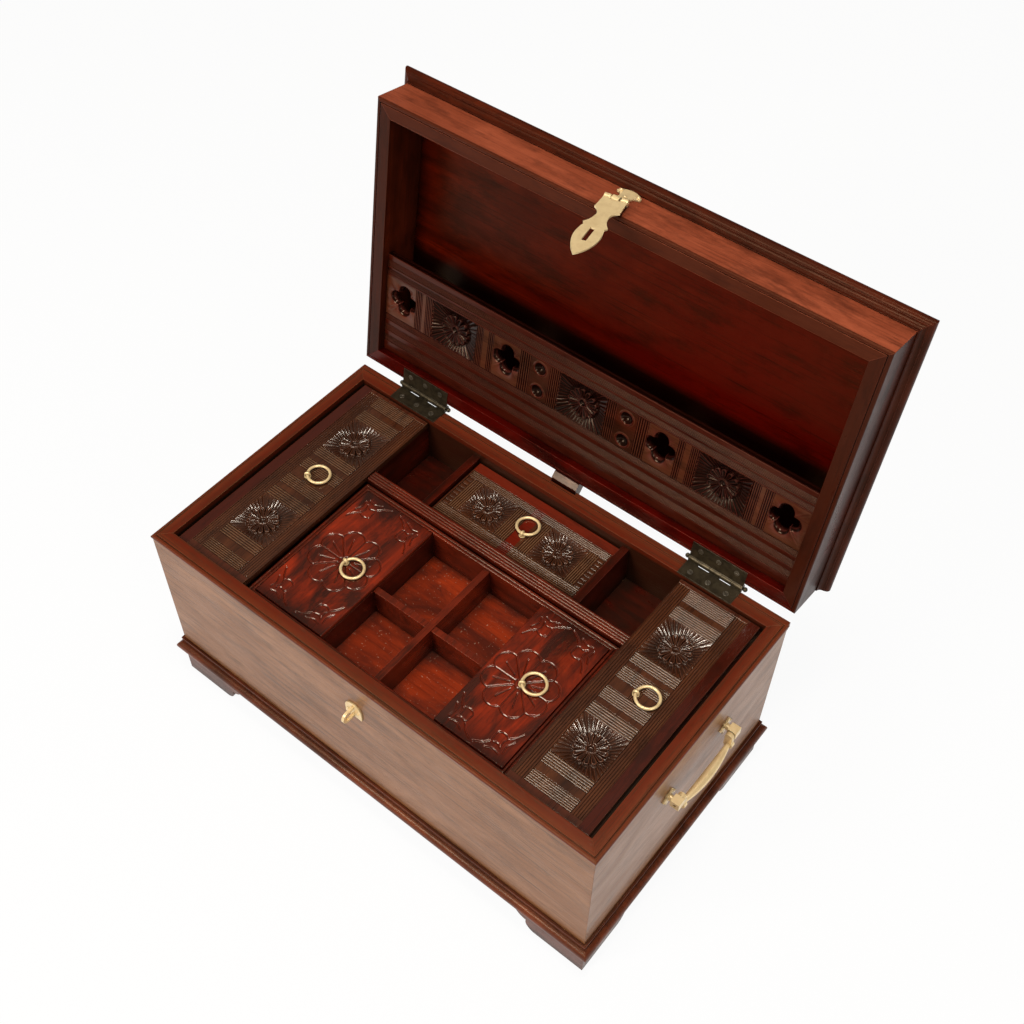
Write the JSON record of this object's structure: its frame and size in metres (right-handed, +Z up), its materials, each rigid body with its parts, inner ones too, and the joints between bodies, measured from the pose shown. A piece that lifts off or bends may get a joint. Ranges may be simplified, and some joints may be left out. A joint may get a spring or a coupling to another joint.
{
  "type": "wooden storage box",
  "caption": "Wooden storage box with a hinged lid, carved loose lids, a lift-out divided tray, side handles and a hasp.",
  "frame": {"origin": "centre of the feet's resting plane", "axes": "+X along the box to the right, +Y from the front to the hinges, +Z up; the lid is stored open"},
  "size_m": [0.4272, 0.3196, 0.4166],
  "materials": {
    "case_wood": "polished dark mahogany",
    "carved_wood": "carved and polished",
    "inner_wood": "polished red-brown",
    "brass": "satin brass",
    "dark_bronze": "darkened bronze"
  },
  "bodies": {
    "case": {"case_front_board": "case_wood", "case_back_board": "case_wood", "case_left_board": "case_wood", "case_right_board": "case_wood", "case_floor": "inner_wood", "base_moulding": "case_wood", "front_feet": "case_wood", "back_feet": "case_wood", "partitions": "inner_wood", "ledge_strips": "inner_wood", "cross_rail": "carved_wood", "till_floor": "inner_wood", "till_dividers": "inner_wood", "lid_stop": "dark_bronze", "staple_plate": "brass", "staple_loop": "brass", "staple_pins": "brass", "hinge_leaves_case": "dark_bronze", "hinge_screws_case": "dark_bronze", "hinge_pins": "dark_bronze", "handle_posts_left": "brass", "handle_posts_right": "brass"},
    "lid": {"lid_front_rail": "case_wood", "lid_back_rail": "case_wood", "lid_left_rail": "case_wood", "lid_right_rail": "case_wood", "lid_top_panel": "case_wood", "lid_moulding_front": "case_wood", "lid_moulding_sides": "case_wood", "lid_pocket_board": "carved_wood", "hinge_leaves_lid": "dark_bronze", "hinge_screws_lid": "dark_bronze", "hasp_plate": "brass", "hasp_plate_pins": "brass"},
    "hasp_pin": {"hasp_pin": "brass"},
    "hasp_strap": {"hasp_strap": "brass"},
    "handle_left": {"handle_bail_left": "brass"},
    "handle_right": {"handle_bail_right": "brass"},
    "tray": {"tray_walls": "inner_wood", "tray_floor": "inner_wood", "tray_partitions": "inner_wood", "tray_dividers": "inner_wood", "tray_ledges": "inner_wood"},
    "long_lid_left": {"long_lid_left": "carved_wood", "ring_eye_long_left": "brass"},
    "long_lid_right": {"long_lid_right": "carved_wood", "ring_eye_long_right": "brass"},
    "till_lid": {"till_lid": "carved_wood", "ring_eye_till": "brass"},
    "tray_lid_left": {"tray_lid_left": "carved_wood", "ring_eye_tray_left": "brass"},
    "tray_lid_right": {"tray_lid_right": "carved_wood", "ring_eye_tray_right": "brass"},
    "ring_long_left": {"ring_long_left": "brass"},
    "ring_long_right": {"ring_long_right": "brass"},
    "ring_till": {"ring_till": "brass"},
    "ring_tray_left": {"ring_tray_left": "brass"},
    "ring_tray_right": {"ring_tray_right": "brass"}
  },
  "joints": [
    {"name": "lid_hinge", "type": "hinge", "parent": "case", "child": "lid", "pos_m": [0, 0.117, 0.1777], "axis": [-1, 0, 0], "range_deg": [-99.35, 0]},
    {"name": "hasp_sway", "type": "hinge", "parent": "lid", "child": "hasp_pin", "pos_m": [-0.0045, 0.16409, 0.40558], "axis": [0, 0.1625, 0.9867], "range_deg": [-14.1, 0]},
    {"name": "hasp_hinge", "type": "hinge", "parent": "hasp_pin", "child": "hasp_strap", "pos_m": [-0.0045, 0.16409, 0.40558], "axis": [-0.9703, -0.2387, 0.0393], "range_deg": [0, 140]},
    {"name": "handle_left_swing", "type": "hinge", "parent": "case", "child": "handle_left", "pos_m": [-0.2075, 0.007, 0.134], "axis": [0, 1, 0], "range_deg": [0, 110]},
    {"name": "handle_right_swing", "type": "hinge", "parent": "case", "child": "handle_right", "pos_m": [0.2075, 0.007, 0.134], "axis": [0, -1, 0], "range_deg": [0, 110]},
    {"name": "tray_lift", "type": "slide", "parent": "case", "child": "tray", "axis": [0, 0, 1], "range_m": [0, 0.06]},
    {"name": "long_lid_left_lift", "type": "slide", "parent": "case", "child": "long_lid_left", "axis": [0, 0, 1], "range_m": [0, 0.04]},
    {"name": "long_lid_right_lift", "type": "slide", "parent": "case", "child": "long_lid_right", "axis": [0, 0, 1], "range_m": [0, 0.04]},
    {"name": "till_lid_lift", "type": "slide", "parent": "case", "child": "till_lid", "axis": [0, 0, 1], "range_m": [0, 0.04]},
    {"name": "tray_lid_left_lift", "type": "slide", "parent": "tray", "child": "tray_lid_left", "axis": [0, 0, 1], "range_m": [0, 0.03]},
    {"name": "tray_lid_right_lift", "type": "slide", "parent": "tray", "child": "tray_lid_right", "axis": [0, 0, 1], "range_m": [0, 0.03]},
    {"name": "ring_long_left_swing", "type": "hinge", "parent": "long_lid_left", "child": "ring_long_left", "pos_m": [-0.1536, 0.0011, 0.1754], "axis": [0.6428, -0.766, 0], "range_deg": [0, 165]},
    {"name": "ring_long_right_swing", "type": "hinge", "parent": "long_lid_right", "child": "ring_long_right", "pos_m": [0.1494, 0.0016, 0.1754], "axis": [0.2079, -0.9781, 0], "range_deg": [0, 165]},
    {"name": "ring_till_swing", "type": "hinge", "parent": "till_lid", "child": "ring_till", "pos_m": [0.003, 0.0645, 0.1664], "axis": [0.9903, 0.1392, 0], "range_deg": [0, 165]},
    {"name": "ring_tray_left_swing", "type": "hinge", "parent": "tray_lid_left", "child": "ring_tray_left", "pos_m": [-0.0788, -0.0375, 0.1694], "axis": [-0.1908, -0.9816, 0], "range_deg": [0, 165]},
    {"name": "ring_tray_right_swing", "type": "hinge", "parent": "tray_lid_right", "child": "ring_tray_right", "pos_m": [0.0837, -0.0375, 0.1694], "axis": [0.5736, -0.8192, 0], "range_deg": [0, 165]}
  ],
  "couplings": [
    {"joint": "hasp_sway", "follows": "lid_hinge", "ratio": 0.14092}
  ]
}
